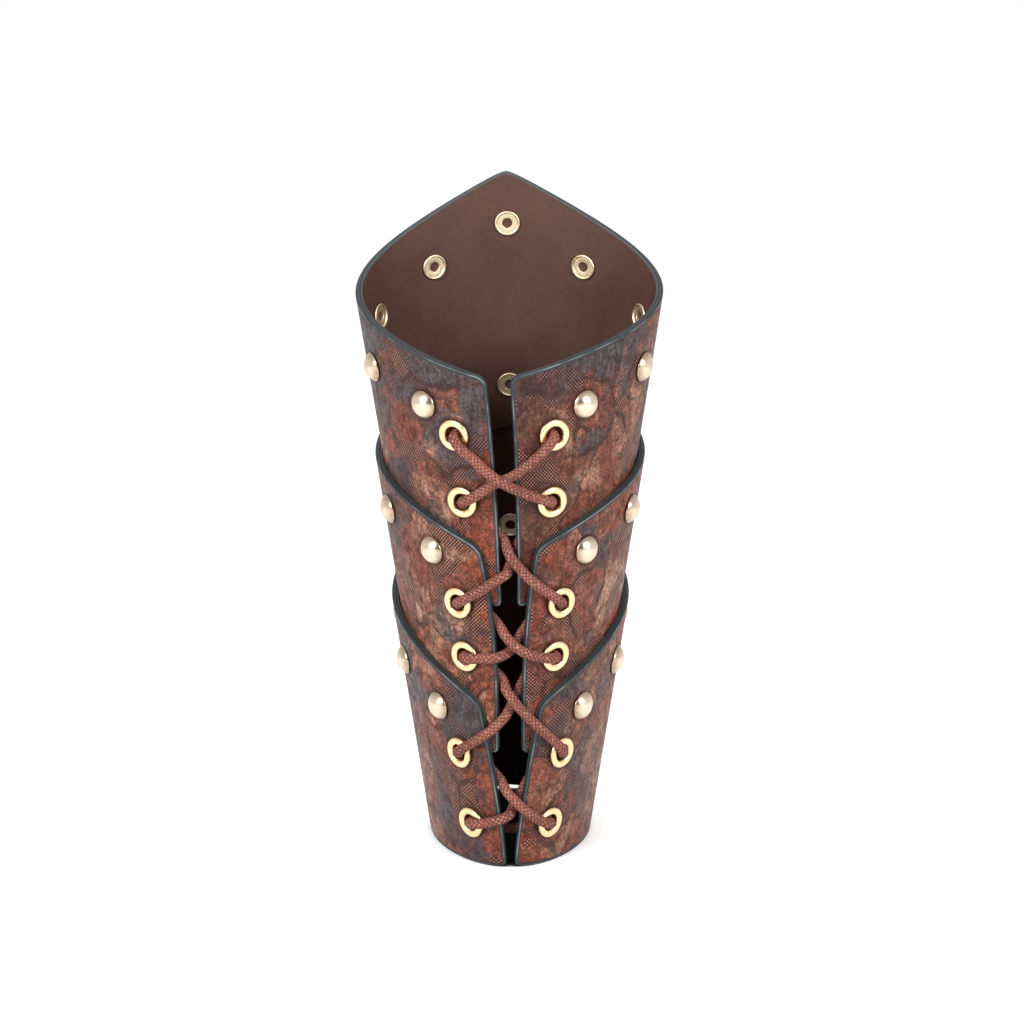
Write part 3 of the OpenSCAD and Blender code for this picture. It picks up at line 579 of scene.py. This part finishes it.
class Look:
    """One material, or the world, and short ways to add its nodes. A value is a number, a colour
    or a socket."""

    def __init__(self, name, world=None, **constants):
        self.material = world or bpy.data.materials.new(name)
        self.material.use_nodes = True
        self.tree = self.material.node_tree
        self.shader = self.tree.nodes["Background" if world else "Principled BSDF"]
        for socket, value in constants.items():
            self.shader.inputs[socket.replace("_", " ")].default_value = value

    def node(self, kind, *values, out=0, **settings):
        new = self.tree.nodes.new(kind)
        for key, value in settings.items():
            setattr(new, key, value)
        for socket, value in values:
            self.feed(new.inputs[socket], value)
        return new.outputs[out]

    def feed(self, socket, value):
        if isinstance(value, bpy.types.NodeSocket):
            self.tree.links.new(value, socket)
        elif socket.type == "RGBA":
            socket.default_value = (*value[:3], 1)
        else:
            socket.default_value = value

    def place(self, *shift):
        """Object coordinates in millimetres."""
        at = self.node("ShaderNodeTexCoord", out="Object")
        return self.node("ShaderNodeMapping", ("Vector", at), ("Location", shift or (0, 0, 0)),
                         ("Scale", (1 / MM,) * 3))

    def flat(self, scale=(FLAT_MM, FLAT_MM, 1), turn=0.0):
        """The piece's own flat map, by default in millimetres."""
        at = self.node("ShaderNodeUVMap", uv_map="flat")
        return self.node("ShaderNodeMapping", ("Vector", at), ("Scale", scale), ("Rotation", (0, 0, turn)))

    def value(self, name):
        return self.node("ShaderNodeAttribute", attribute_name=name, out="Fac")

    def split(self, kind, value):
        """The three parts of a vector or a colour."""
        return self.node(kind, (0, value)).node.outputs

    def noise(self, at, scale, detail=4.0, rough=0.6, bend=0.0):
        return self.node("ShaderNodeTexNoise", ("Vector", at), ("Scale", scale), ("Detail", detail),
                         ("Roughness", rough), ("Distortion", bend))

    def cracks(self, at, scale):
        return self.node("ShaderNodeTexVoronoi", ("Vector", at), ("Scale", scale), feature="DISTANCE_TO_EDGE")

    def calc(self, operation, *values):
        return self.node("ShaderNodeMath", *enumerate(values), operation=operation)

    times = partialmethod(calc, "MULTIPLY")
    plus = partialmethod(calc, "ADD")
    minus = partialmethod(calc, "SUBTRACT")

    def band(self, value, low, high, start=0.0, end=1.0):
        """Smooth step from start to end as the value goes from low to high."""
        return self.node("ShaderNodeMapRange", ("Value", value), ("From Min", low), ("From Max", high),
                         ("To Min", start), ("To Max", end), interpolation_type="SMOOTHSTEP")

    def off(self, value, middle, low, high, start=1.0, end=0.0):
        """Band of how far the value is from the middle."""
        return self.band(self.calc("ABSOLUTE", self.minus(value, middle)), low, high, start, end)

    def mix(self, amount, first, second, blend="MIX"):
        return self.node("ShaderNodeMix", (0, amount), (6, first), (7, second),
                         data_type="RGBA", blend_type=blend, out=2)

    def grey(self, value):
        return self.node("ShaderNodeCombineColor", (0, value), (1, value), (2, value))

    def vary(self, amount, base, value, *band):
        """The base colour made darker and lighter by a band of the value."""
        return self.mix(amount, base, self.grey(self.band(value, *band)), "MULTIPLY")

    def seen_directly(self):
        """1 for rays from the camera and for mirrored or refracted ones, and 0 for the others."""
        rays = self.node("ShaderNodeLightPath").node.outputs
        total = rays["Is Camera Ray"]
        for ray in ("Is Glossy Ray", "Is Transmission Ray"):
            total = self.plus(total, rays[ray])
            total.node.use_clamp = True
        return total

    def finish(self, base, roughness, height, depth):
        self.feed(self.shader.inputs["Base Color"], base)
        self.feed(self.shader.inputs["Roughness"], roughness)
        bump = self.node("ShaderNodeBump", ("Height", height), ("Distance", depth * MM))
        self.feed(self.shader.inputs["Normal"], bump)
        return self.material


def painted(look, at, colours, base, paint_w):
    """Edge paint over a base colour: a dark coat that ends in a slightly ragged line, pale along
    the arris in long stretches as wear and painted highlight, and on the cut edge one thin pale line of
    painted highlight."""
    edge, depth = look.value("edge"), look.value("depth")
    reach = look.plus(edge, look.times(look.minus(look.noise(at, 0.45, 4, 0.65), 0.5), 0.9))
    coat = look.band(reach, paint_w * 0.75, paint_w * 1.1, 1, 0)
    # Pale stretches along the arris: partly wear, partly a painted highlight where the rounding catches the
    # light.
    worn_and_highlit = look.times(look.band(look.noise(at, 0.09, 4, 0.6), 0.42, 0.62, 0.12, 1), 0.85)
    arris = look.times(look.off(edge, 0.4, 0.08, 0.36), look.band(depth, 0.0, 0.2, 1, 0))
    # The thin pale line along the middle of the cut edge is a painted highlight.
    pale = look.plus(look.times(arris, worn_and_highlit), look.off(depth, 0.55, 0.08, 0.22, 0.18))
    return look.mix(coat, base, look.mix(pale, colours.paint, colours.scuff_and_highlight)), coat


def leather_look(colours, guard, name, slate, rust, pale, high, left, burnt, seed):
    """Mottled leather. Bent cell borders part it into leaf-like fields; along them run ribbons
    of a fine pressed lattice, of uneven width, and thin dark lines, with finer veins between.
    Each field has its own colour between maroon, tan, slate and rust, broken up by clouds,
    streaks and a fine grain. Slate gathers high up and on the left by the given shares, and
    rust beside the lacing, where the right side is darkened by the share burnt."""
    look = Look(f"{name} leather", Specular_IOR_Level=0.22)
    noise, band, mix, vary, place = look.noise, look.band, look.mix, look.vary, look.place
    times, plus, minus = look.times, look.plus, look.minus
    at = place(seed * 37.0, seed * 11.0, seed * 23.0)
    edge, seat = look.value("edge"), look.value("seat")
    x, y, z = look.split("ShaderNodeSeparateXYZ", place())
    across, along, _ = look.split("ShaderNodeSeparateXYZ", look.flat())

    # Fields of leather, how far a point is from their borders, and the noises that part them up.
    cells, small_cells, bend = 0.052, 0.17, 15.0
    sway = look.node("ShaderNodeTexNoise", ("Vector", at), ("Scale", 0.07), ("Detail", 5.0), out="Color")
    bent = look.node("ShaderNodeVectorMath", (0, sway), (1, (bend,) * 3), (2, at), operation="MULTIPLY_ADD")
    field = look.node("ShaderNodeTexVoronoi", ("Vector", bent), ("Scale", cells), out="Color")
    own_a, own_b, own_c = look.split("ShaderNodeSeparateColor", field)
    border = times(look.cracks(bent, cells), 19.0)
    vein = times(look.cracks(bent, small_cells), 6.0)
    cloud = noise(at, 0.07, 8, 0.68, 0.3)
    cloud_b = noise(place(seed * 71.0, 40, 9), 0.06, 8, 0.68, 0.3)
    fine = noise(at, 0.7, 6, 0.75)
    grain = noise(at, 2.3, 3, 0.7)
    streak = noise(look.flat((90, 20, 1), 0.55), 1.0, 5, 0.7)
    blot = noise(place(seed * 5.0, 17, 66), 0.26, 6, 0.72, 0.4)

    def lot(wave, share):
        """A noise moved up or down by the field's own share."""
        return plus(wave, times(minus(share, 0.5), 0.24))

    # The four colours, in the order in which they cover each other.
    beside = times(band(look.calc("ABSOLUTE", x), 8, 24, 1, 0), band(y, -5, -25))
    worn = minus(lot(cloud, own_a), times(beside, 0.07))
    tone = mix(band(worn, 0.52 - pale, 0.76 - pale), colours.maroon, colours.tan)
    near = plus(band(edge, 1.5, 14, 0.1, -0.03), times(beside, 0.08))
    rusty = band(plus(lot(noise(at, 0.1, 6, 0.68), own_b), near), 0.6 - rust, 0.78 - rust)
    tone = mix(times(rusty, 0.75), tone, colours.rust)
    peak, fall, _ = PLATES[name]["top"]
    gather = plus(band(z, peak - fall - 34, peak - fall, 0, high), band(x, 15, -25, 0, left))
    slaty = band(plus(lot(cloud_b, own_c), gather), 0.56 - slate, 0.73 - slate)
    tone = mix(times(slaty, 0.85), tone, colours.grey)
    tone = mix(times(times(beside, band(x, 0, 4)), burnt), tone, colours.ink_and_shade)
    tone = vary(1.0, tone, fine, 0.32, 0.68, 0.42, 1.58)
    tone = vary(1.0, tone, blot, 0.36, 0.6, 0.6, 1.2)
    tone = vary(0.9, tone, streak, 0.32, 0.68, 0.6, 1.4)
    tone = vary(0.9, tone, grain, 0.34, 0.66, 0.55, 1.45)

    # The pressed lattice: two crossed waves on the flat map, in ribbons along the borders.
    turn = math.pi * math.sqrt(2) / guard.emboss_pitch
    lattice = times(look.calc("COSINE", times(across, turn)), look.calc("COSINE", times(along, turn)))
    width = band(noise(at, 0.06, 3, 0.6, 0.4), 0.42, 0.66, -0.6, 5.0)
    pressed = band(minus(border, width), -0.2, 0.4, 1, 0)
    pits = times(pressed, band(lattice, -0.35, 0.2))
    tone = mix(times(pressed, 0.4), tone, colours.rust)
    tone = mix(pits, tone, colours.ink_and_shade)
    dots = times(pressed, band(lattice, -0.2, -0.6, 0, 0.6))
    tone = mix(dots, tone, mix(slaty, colours.dot_warm, colours.dot_grey))

    # Dark lines along borders and veins, where a wide noise lets one or the other through.
    gate = noise(place(seed * 13.0, 90, 31), 0.06, 4, 0.65)
    line = times(band(border, 0.25, 1.0, 1, 0), band(gate, 0.42, 0.56))
    thin = times(band(vein, 0.06, 0.42, 1, 0), band(gate, 0.56, 0.44))
    line = look.calc("MAXIMUM", line, times(thin, 0.5))
    tone = mix(times(line, 0.82), tone, colours.ink_and_shade)
    # Painted shade round the seats of studs and eyelets.
    tone = mix(band(seat, 0.4, 1, 0, 0.6), tone, colours.ink_and_shade)
    tone, coat = painted(look, at, colours, tone, guard.paint_w)

    height = plus(times(fine, 0.7), times(grain, 0.3))
    height = minus(minus(height, times(line, 0.35)), times(pits, 0.4))
    rough = mix(coat, look.grey(band(blot, 0.34, 0.62, 0.62, 0.38)), (0.42, 0.42, 0.42))
    return look.finish(tone, rough, times(height, band(coat, 0, 1, 1, 0.25)), 0.4)


def lining_look(colours):
    """Smooth brown leather with faint clouds, a soft nap and a painted edge."""
    look = Look("lining leather", Specular_IOR_Level=0.2)
    at = look.place()
    nap = look.noise(at, 1.1, 5, 0.7)
    tone = look.vary(0.9, colours.lining, look.noise(at, 0.05, 5, 0.6, 0.5), 0.3, 0.7, 0.86, 1.12)
    tone = look.vary(0.8, tone, nap, 0.25, 0.75, 0.9, 1.1)
    edge = look.plus(look.value("edge"), look.times(look.minus(nap, 0.5), 0.6))
    # The lining's paint is paler on its inner face: partly wear, partly a painted highlight on the inner
    # arris.
    worn_and_highlit = look.band(look.value("depth"), 0.3, 0.9, 0, 0.35)
    tone = look.mix(look.band(edge, 0.35, 0.8, 1, 0), tone, look.mix(worn_and_highlit, colours.paint, colours.scuff_and_highlight))
    return look.finish(tone, look.band(nap, 0.2, 0.8, 0.6, 0.48), nap, 0.08)


def metal_look(name, colours, bright, rim_from, specks, roughness):
    """Brushed cast metal: dull specks, and towards the rim a darkening that is painted shade and
    reflection. Points whose rim value is above 1 lie deep in a bore and are painted dark as shade."""
    look = Look(name, Metallic=1.0)
    at, rim = look.place(), look.value("rim")
    cloud = look.noise(at, 0.9, 5, 0.7)
    speck = look.noise(at, 4.5, 3, 0.7)
    # Towards the rim the metal is darkened as painted shade and reflection; the specks are dull spots of the
    # metal.
    aged_and_shaded = look.plus(look.band(rim, rim_from, 1.0, 0, 0.75), look.band(speck, 0.58, 0.75, 0, specks))
    aged_and_shaded = look.calc("MINIMUM", look.times(aged_and_shaded, look.band(cloud, 0.3, 0.65, 0.55, 1)), 1.0)
    # Deep in a bore the metal is painted dark as shade.
    base = look.mix(look.band(rim, 1.1, 1.9), look.mix(aged_and_shaded, bright, colours.tarnish_and_shade), colours.bore)
    return look.finish(base, look.band(cloud, 0.3, 0.7, roughness, roughness + 0.12),
                       look.plus(look.times(cloud, 0.7), look.times(speck, 0.3)), 0.05)


def lace_look(colours):
    """Braided yarn: each yarn a little different, with painted shade between the ridges, and pale flecks."""
    look = Look("lace yarn", Specular_IOR_Level=0.25)
    at = look.place()
    ridge = look.value("ridge")
    tone = look.vary(0.9, colours.lace, look.value("yarn"), 0, 1, 0.72, 1.25)
    fleck = look.times(look.band(look.noise(at, 2.2, 4, 0.7), 0.5, 0.64), look.band(ridge, 0.4, 0.8))
    tone = look.mix(look.times(fleck, 0.7), tone, colours.fleck)
    soot = look.band(look.noise(look.place(3, 60, 8), 1.6, 3, 0.7), 0.54, 0.66, 0, 0.55)
    tone = look.mix(soot, tone, colours.ink_and_shade)
    # Painted shade between the ridges of the braid.
    tone = look.mix(look.band(ridge, 0.2, 0.62, 0.68, 0), tone, colours.ink_and_shade)
    return look.finish(tone, 0.7, look.noise(at, 5, 3, 0.6), 0.12)


class GUARD_OT_leather(bpy.types.Operator):
    """Makes the three leather plates, each a little different in its patches"""

    bl_idname = "guard.leather"
    bl_label = "Leather plates"

    def execute(self, context):
        guard, colours = Guard(), context.scene.guard_colours
        # Shares of slate, rust and pale, slate high up and on the left, the burnt side, the seed.
        for name, *looks in (("upper", 0.05, 0.05, 0.04, 0.15, 0.02, 0.75, 4),
                             ("middle", 0.03, 0.05, 0.07, 0.03, 0, 0.15, 5),
                             ("lower", 0.03, 0.06, 0.04, 0.05, 0.09, 0.1, 3)):
            plate = PLATES[name]
            put_sheet(guard, name, "plate", leather_look(colours, guard, name, *looks), "leather",
                      guard.back_h(plate) + guard.lining_t, guard.face_h(plate), 0, 0.55, 0.05)
        return {"FINISHED"}


class GUARD_OT_linings(bpy.types.Operator):
    """Makes the smooth lining inside each plate"""

    bl_idname = "guard.linings"
    bl_label = "Linings"

    def execute(self, context):
        guard, look = Guard(), lining_look(context.scene.guard_colours)
        for name, plate in PLATES.items():
            low, trim = guard.back_h(plate), WRIST_TRIM if plate["foot"] is None else 0
            put_sheet(guard, name, "lining", look, "lining", low, low + guard.lining_t, trim, 0.05, 0.35)
        return {"FINISHED"}


def stack(guard, plate):
    """Heights off the shell of a dome's seat and of its inner cap's, and the way between them."""
    seat = guard.face_h(plate) - DOME_SINK
    cap = guard.back_h(PLATES[plate["under"]]) - INNER_AIR
    return seat, cap, seat - cap


class GUARD_OT_studs(bpy.types.Operator):
    """Makes the domed studs of each row, each a cap of a ball on a low rim, with their posts"""

    bl_idname = "guard.studs"
    bl_label = "Studs"

    def execute(self, context):
        guard, colours = Guard(), context.scene.guard_colours
        look = metal_look("aged stud metal", colours, colours.stud, 0.55, 0.3, 0.2)
        r, post, short, lip = guard.dome_d / 2, guard.back_bore_d / 2 - 0.2, 0.55, 0.15
        band, under = 0.4, -0.2
        rise = guard.dome_h - band
        ball = (r * r + rise * rise) / 2 / rise
        dome = arc(0, guard.dome_h - ball, ball, math.degrees(math.acos(r / ball)), 90, 24)
        for name, plate in PLATES.items():
            seat, _, long = stack(guard, plate)
            profile = np.vstack([[[0, short - long], [post, short - long], [post, 0], [r - lip, 0]],
                                 arc(r - lip, lip, lip, -90, 0, 4), dome])
            points, faces, rim = turned(profile, False)
            # The post under the dome is marked as lying deep in the bore, so that it is painted dark as
            # shade.
            rim = np.where(points[:, 2] < under, 2.0, rim)
            put_copies(guard, f"{name}_dome_studs", guard.stud_spots(plate), seat, points, faces, rim,
                       look, "stud_metal", f"{name}_studs")
        return {"FINISHED"}


class GUARD_OT_stud_backs(bpy.types.Operator):
    """Makes the flat caps inside, with their rolled rims and tubes"""

    bl_idname = "guard.stud_backs"
    bl_label = "Inner caps"

    def execute(self, context):
        guard, colours = Guard(), context.scene.guard_colours
        look = metal_look("inner cap metal", colours, colours.cap, 0.97, 0.25, 0.4)
        bore, bead, wall, short = guard.back_bore_d / 2, 0.45, 0.4, 0.1
        at = guard.back_cap_d / 2 - bead
        for name, plate in PLATES.items():
            _, seat, long = stack(guard, plate)
            profile = np.vstack([arc(bore + 0.2, -0.35, 0.2, 180, 270, 4), [[at - 0.5, -0.5]],
                                 arc(at, -bead, bead, -120, 90, 14), [[bore + wall, 0]],
                                 [[bore + wall, long - short], [bore, long - short]]])
            put_copies(guard, f"{name}_inner_caps", guard.stud_spots(plate), seat, *turned(profile, True),
                       look, "eyelet_metal", f"{name}_stud_backs")
        return {"FINISHED"}


def put_on_eyelets(guard, profile, look, piece, node):
    """Sets a turned piece on the seats of all eyelets, as one object on each side of a plate."""
    for name, plate in PLATES.items():
        for side, word in ((-1, "left"), (1, "right")):
            put_copies(guard, f"{name}_{word}_{piece}", guard.eyelet_spots(plate, side),
                       guard.face_h(plate) - FLANGE_SINK, *turned(profile, True),
                       look, "eyelet_metal", f"{name}_{node}_{word}")


class GUARD_OT_eyelets(bpy.types.Operator):
    """Makes the eyelets: a rolled flange, the barrel and the end curled over the washer"""

    bl_idname = "guard.eyelets"
    bl_label = "Eyelets"

    def execute(self, context):
        guard, colours = Guard(), context.scene.guard_colours
        hole, out, curl = guard.eyelet_hole_d / 2, guard.eyelet_d / 2, 0.4
        barrel, low = hole + 0.45, -guard.grip() - 0.52
        a = np.radians(np.linspace(0, 180, 22))
        mid, half = (out + hole) / 2, (out - hole) / 2
        roll = np.stack([mid + half * np.sign(np.cos(a)) * np.abs(np.cos(a)) ** 0.8,
                         1.2 * np.sin(a) ** 0.8], -1)
        profile = np.vstack([arc(hole + curl, low, curl, 180, 270, 5),
                             arc(barrel + 0.5, low, curl, -90, 0, 5),
                             [[barrel, low + 0.01], [barrel, 0], [out - 0.05, 0]], roll])
        put_on_eyelets(guard, profile, metal_look("eyelet metal", colours, colours.eyelet, 0.93, 0.2, 0.22),
                       "rolled_eyelets", "eyelets")
        return {"FINISHED"}


class GUARD_OT_washers(bpy.types.Operator):
    """Makes the washers that the eyelets are curled over inside"""

    bl_idname = "guard.washers"
    bl_label = "Washers"

    def execute(self, context):
        guard, colours = Guard(), context.scene.guard_colours
        inner, out, thick, r = guard.eyelet_hole_d / 2 + 0.55, guard.washer_d / 2, 0.5, 0.15
        low = -guard.grip() - thick
        profile = np.vstack([[[inner, low]], arc(out - r, low + r, r, -90, 0, 4),
                             arc(out - r, low + 0.35, r, 0, 90, 4), [[inner, low + thick]]])
        put_on_eyelets(guard, profile, metal_look("washer metal", colours, colours.eyelet, 0.93, 0.3, 0.3),
                       "flat_washers", "washers")
        return {"FINISHED"}


class GUARD_OT_lace(bpy.types.Operator):
    """Makes the braided lace along its route through the eyelets"""

    bl_idname = "guard.lace"
    bl_label = "Lace"

    def execute(self, context):
        points, faces, ridge, yarn = lace_tube(Guard())
        put_mesh("braided_lace", points, faces, lace_look(context.scene.guard_colours), "lace", ["lace"],
                 sharp=180, ridge=ridge, yarn=yarn)
        return {"FINISHED"}


def lamp(name, at, aim, size, watts):
    """A soft square lamp that faces its aim, both in millimetres."""
    data = bpy.data.lights.new(name, "AREA")
    data.size, data.energy = size * MM, watts
    light = add_object(name, data)
    light.location = [v * MM for v in at]
    light.rotation_euler = (Vector(aim) - Vector(at)).to_track_quat("-Z", "Y").to_euler()


def stage_sheet(name, corners, look):
    """A flat sheet of the studio, given by its corners in metres."""
    mesh = bpy.data.meshes.new(name)
    mesh.from_pydata(corners, [], [(0, 1, 2, 3)])
    mesh.materials.append(look.material)
    sheet = add_object(name, mesh)
    return sheet


def floor_look(colours, glow=0.74, around=0.3, shadow=(0.004, 0.003, 0.003)):
    """A pale floor that also shines for rays that see it directly, so that it shows white. It is
    painted darker as shadow, and shines less, by how much stands within a distance round a point (metres)."""
    look = Look("studio floor", Roughness=0.9)
    open_sky = look.node("ShaderNodeAmbientOcclusion", ("Distance", around), out="AO", samples=12)
    lit = look.times(look.band(open_sky, 0.3, 0.44), look.band(open_sky, 0.44, 0.8, 0.8, 1))
    look.feed(look.shader.inputs["Base Color"], look.mix(lit, shadow, colours.floor))
    strength = look.times(look.seen_directly(), look.times(lit, glow))
    shine = look.node("ShaderNodeEmission", ("Color", (1, 1, 1)), ("Strength", strength))
    both = look.node("ShaderNodeAddShader", (0, look.shader.outputs[0]), (1, shine))
    look.feed(look.tree.nodes["Material Output"].inputs["Surface"], both)
    return look


class GUARD_OT_stage(bpy.types.Operator):
    """Makes the pale floor, the white background, the lamps and the camera"""

    bl_idname = "guard.stage"
    bl_label = "Stage"

    def execute(self, context):
        scene = context.scene
        colours = scene.guard_colours
        far = 6.0
        stage_sheet("studio_floor", [(-far, -far, 0), (far, -far, 0), (far, far, 0), (-far, far, 0)],
                    floor_look(colours))

        world = bpy.data.worlds.new("studio")
        scene.world = world
        sky = Look("studio", world, Color=(1, 1, 1, 1))
        ambient, white = 0.25, 1
        level = ("Value", sky.seen_directly()), ("To Min", ambient), ("To Max", white)
        sky.feed(sky.shader.inputs["Strength"], sky.node("ShaderNodeMapRange", *level))

        lamp("left", (-620, -860, 560), (0, -20, 120), 400, 12)
        lamp("right", (700, -820, 540), (0, -20, 110), 400, 10)
        lamp("top", (-160, 60, 900), (20, 0, 150), 350, 0.8)

        # The dark card stands behind the camera, and only mirrored rays see it.
        dark = Look("studio card", Roughness=0.8)
        dark.feed(dark.shader.inputs["Base Color"], colours.card)
        half_w, y, low, high = 0.5, -1.2, 0.06, 0.78
        card = stage_sheet("studio_card", [(-half_w, y, high), (half_w, y, high), (half_w, y, low),
                                           (-half_w, y, low)], dark)
        for ray in ("camera", "diffuse", "shadow", "transmission"):
            setattr(card, f"visible_{ray}", False)

        # The camera's place and lens are fitted to the photograph.
        camera = add_object("camera", bpy.data.cameras.new("camera"))
        aim, away, elevation = Vector((0, -17.25, 116.84)), 1100, math.radians(10.7)
        camera.location = (aim + away * Vector((0, -math.cos(elevation), math.sin(elevation)))) * MM
        camera.rotation_euler = (math.pi / 2 - elevation, 0, 0)
        camera.data.sensor_width = 36
        camera.data.lens = 112.42
        camera.data.shift_x = 1.5 / 1024
        scene.camera = camera
        scene.view_settings.view_transform = "Standard"
        return {"FINISHED"}


STEPS = (GUARD_OT_stage, GUARD_OT_lace, GUARD_OT_leather, GUARD_OT_linings, GUARD_OT_studs,
         GUARD_OT_stud_backs, GUARD_OT_eyelets, GUARD_OT_washers)


class GUARD_PT_panel(bpy.types.Panel):
    """Lists the steps, the sizes and the colours"""

    bl_label = "Arm guard"
    bl_idname = "GUARD_PT_panel"
    bl_space_type = "VIEW_3D"
    bl_region_type = "UI"
    bl_category = "Arm guard"

    def draw(self, context):
        for step in STEPS:
            self.layout.operator(step.bl_idname)
        for group in (context.scene.guard_sizes, context.scene.guard_colours):
            box = self.layout.box()
            for key in type(group).__annotations__:
                box.prop(group, key)


CLASSES = (GuardSizes, GuardColours, *STEPS, GUARD_PT_panel)


def register():
    for cls in CLASSES:
        bpy.utils.register_class(cls)
    bpy.types.Scene.guard_sizes = bpy.props.PointerProperty(type=GuardSizes)
    bpy.types.Scene.guard_colours = bpy.props.PointerProperty(type=GuardColours)


def unregister():
    del bpy.types.Scene.guard_sizes, bpy.types.Scene.guard_colours
    for cls in reversed(CLASSES):
        bpy.utils.unregister_class(cls)


def main():
    register()
    for step in ("stage", "lace", "leather", "linings", "studs", "stud_backs", "eyelets", "washers"):
        getattr(bpy.ops.guard, step)()


if __name__ == "__main__":
    main()
